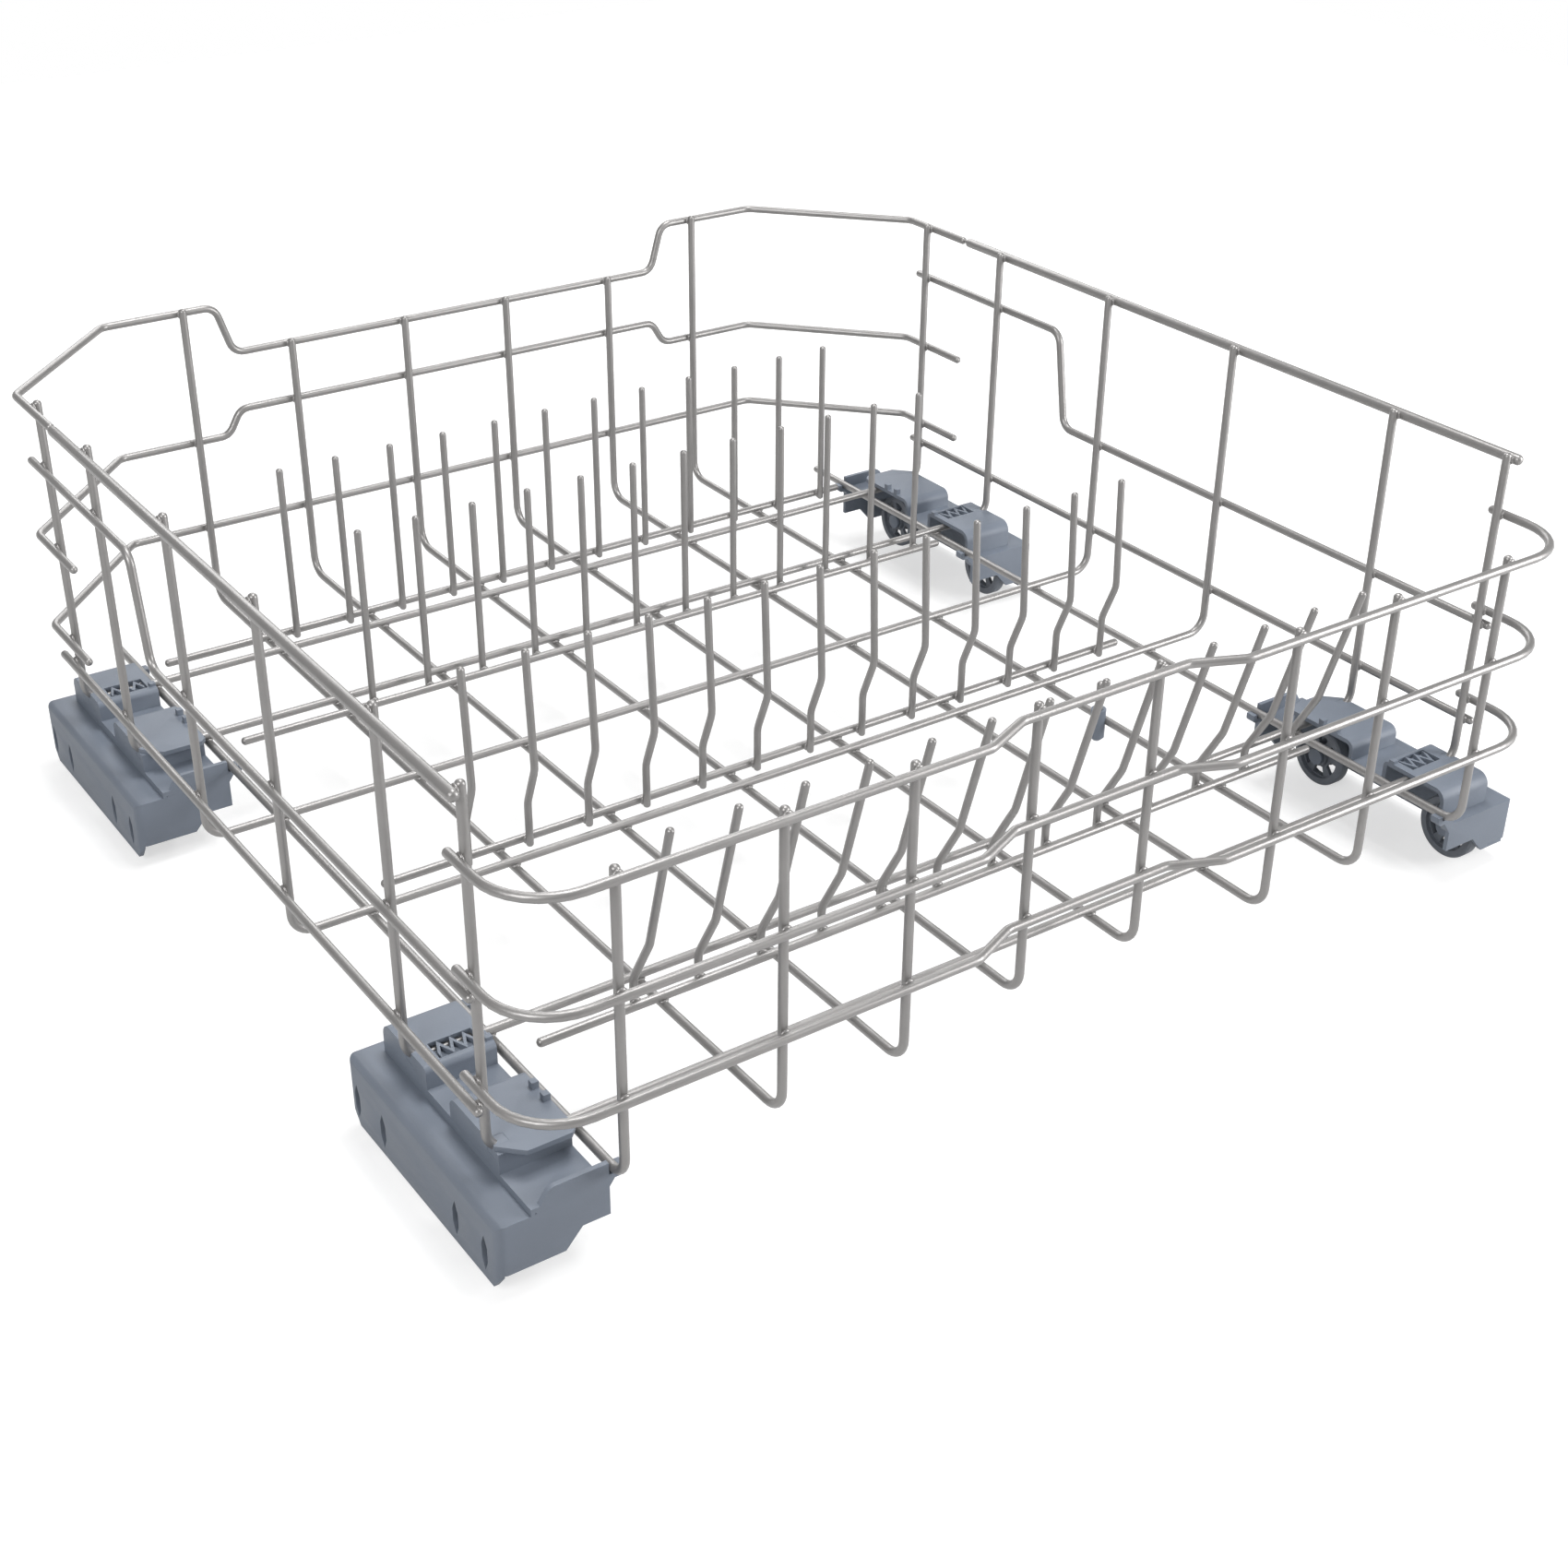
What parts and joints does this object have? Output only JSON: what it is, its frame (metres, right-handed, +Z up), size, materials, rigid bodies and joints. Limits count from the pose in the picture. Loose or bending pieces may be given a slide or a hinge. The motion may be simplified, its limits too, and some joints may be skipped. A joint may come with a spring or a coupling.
{
  "type": "dishwasher basket",
  "caption": "Lower dishwasher rack of coated wire with rows of plate tines, stepped side rails, cut rear corners and a pair of turning wheels in a moulded carrier at each corner.",
  "frame": {"origin": "on the floor under the middle of the basket", "axes": "+X to the right seen from the door side, +Y to the back of the machine, +Z up"},
  "size_m": [0.551, 0.563, 0.2035],
  "materials": {
    "coated_wire": "smooth grey nylon coating on steel wire",
    "moulded_grey": "blue-grey moulded plastic",
    "wheel_grey": "darker blue-grey moulded plastic"
  },
  "bodies": {
    "rack": {"cross_wire_1": "coated_wire", "cross_wire_2": "coated_wire", "cross_wire_3": "coated_wire", "cross_wire_4": "coated_wire", "cross_wire_5": "coated_wire", "cross_wire_6": "coated_wire", "long_wire_1": "coated_wire", "long_wire_2": "coated_wire", "long_wire_3": "coated_wire", "long_wire_4": "coated_wire", "long_wire_5": "coated_wire", "long_wire_6": "coated_wire", "long_wire_7": "coated_wire", "long_wire_8": "coated_wire", "front_top_rail": "coated_wire", "front_mid_rail": "coated_wire", "front_low_rail": "coated_wire", "back_top_rail": "coated_wire", "back_mid_rail": "coated_wire", "back_low_rail": "coated_wire", "left_top_rail": "coated_wire", "left_mid_rail": "coated_wire", "left_low_rail": "coated_wire", "right_top_rail": "coated_wire", "right_mid_rail": "coated_wire", "right_low_rail": "coated_wire", "tine_rod_a": "coated_wire", "tine_rod_b": "coated_wire", "tine_rod_c": "coated_wire", "tine_rod_d": "coated_wire", "tines_a": "coated_wire", "tines_b": "coated_wire", "tines_c": "coated_wire", "tines_d": "coated_wire", "peg_pin": "coated_wire", "peg_boot": "moulded_grey", "left_rear_housing": "moulded_grey", "left_rear_latch": "moulded_grey", "left_rear_axle_pins": "moulded_grey", "left_front_housing": "moulded_grey", "left_front_latch": "moulded_grey", "left_front_axle_pins": "moulded_grey", "right_rear_housing": "moulded_grey", "right_rear_latch": "moulded_grey", "right_rear_axle_pins": "moulded_grey", "right_front_housing": "moulded_grey", "right_front_latch": "moulded_grey", "right_front_axle_pins": "moulded_grey"},
    "left_rear_rear_wheel": {"left_rear_rear_wheel": "wheel_grey"},
    "left_rear_front_wheel": {"left_rear_front_wheel": "wheel_grey"},
    "left_front_rear_wheel": {"left_front_rear_wheel": "wheel_grey"},
    "left_front_front_wheel": {"left_front_front_wheel": "wheel_grey"},
    "right_rear_rear_wheel": {"right_rear_rear_wheel": "wheel_grey"},
    "right_rear_front_wheel": {"right_rear_front_wheel": "wheel_grey"},
    "right_front_rear_wheel": {"right_front_rear_wheel": "wheel_grey"},
    "right_front_front_wheel": {"right_front_front_wheel": "wheel_grey"}
  },
  "joints": [
    {"name": "left_rear_rear_wheel_spin", "type": "hinge", "parent": "rack", "child": "left_rear_rear_wheel", "pos_m": [-0.2558, 0.1972, 0.016], "axis": [1, 0, 0], "continuous": true},
    {"name": "left_rear_front_wheel_spin", "type": "hinge", "parent": "rack", "child": "left_rear_front_wheel", "pos_m": [-0.2558, 0.113, 0.016], "axis": [1, 0, 0], "continuous": true},
    {"name": "left_front_rear_wheel_spin", "type": "hinge", "parent": "rack", "child": "left_front_rear_wheel", "pos_m": [-0.2558, -0.1608, 0.016], "axis": [1, 0, 0], "continuous": true},
    {"name": "left_front_front_wheel_spin", "type": "hinge", "parent": "rack", "child": "left_front_front_wheel", "pos_m": [-0.2558, -0.245, 0.016], "axis": [1, 0, 0], "continuous": true},
    {"name": "right_rear_rear_wheel_spin", "type": "hinge", "parent": "rack", "child": "right_rear_rear_wheel", "pos_m": [0.2558, 0.193, 0.016], "axis": [1, 0, 0], "continuous": true},
    {"name": "right_rear_front_wheel_spin", "type": "hinge", "parent": "rack", "child": "right_rear_front_wheel", "pos_m": [0.2558, 0.1088, 0.016], "axis": [1, 0, 0], "continuous": true},
    {"name": "right_front_rear_wheel_spin", "type": "hinge", "parent": "rack", "child": "right_front_rear_wheel", "pos_m": [0.2558, -0.165, 0.016], "axis": [1, 0, 0], "continuous": true},
    {"name": "right_front_front_wheel_spin", "type": "hinge", "parent": "rack", "child": "right_front_front_wheel", "pos_m": [0.2558, -0.2492, 0.016], "axis": [1, 0, 0], "continuous": true}
  ]
}
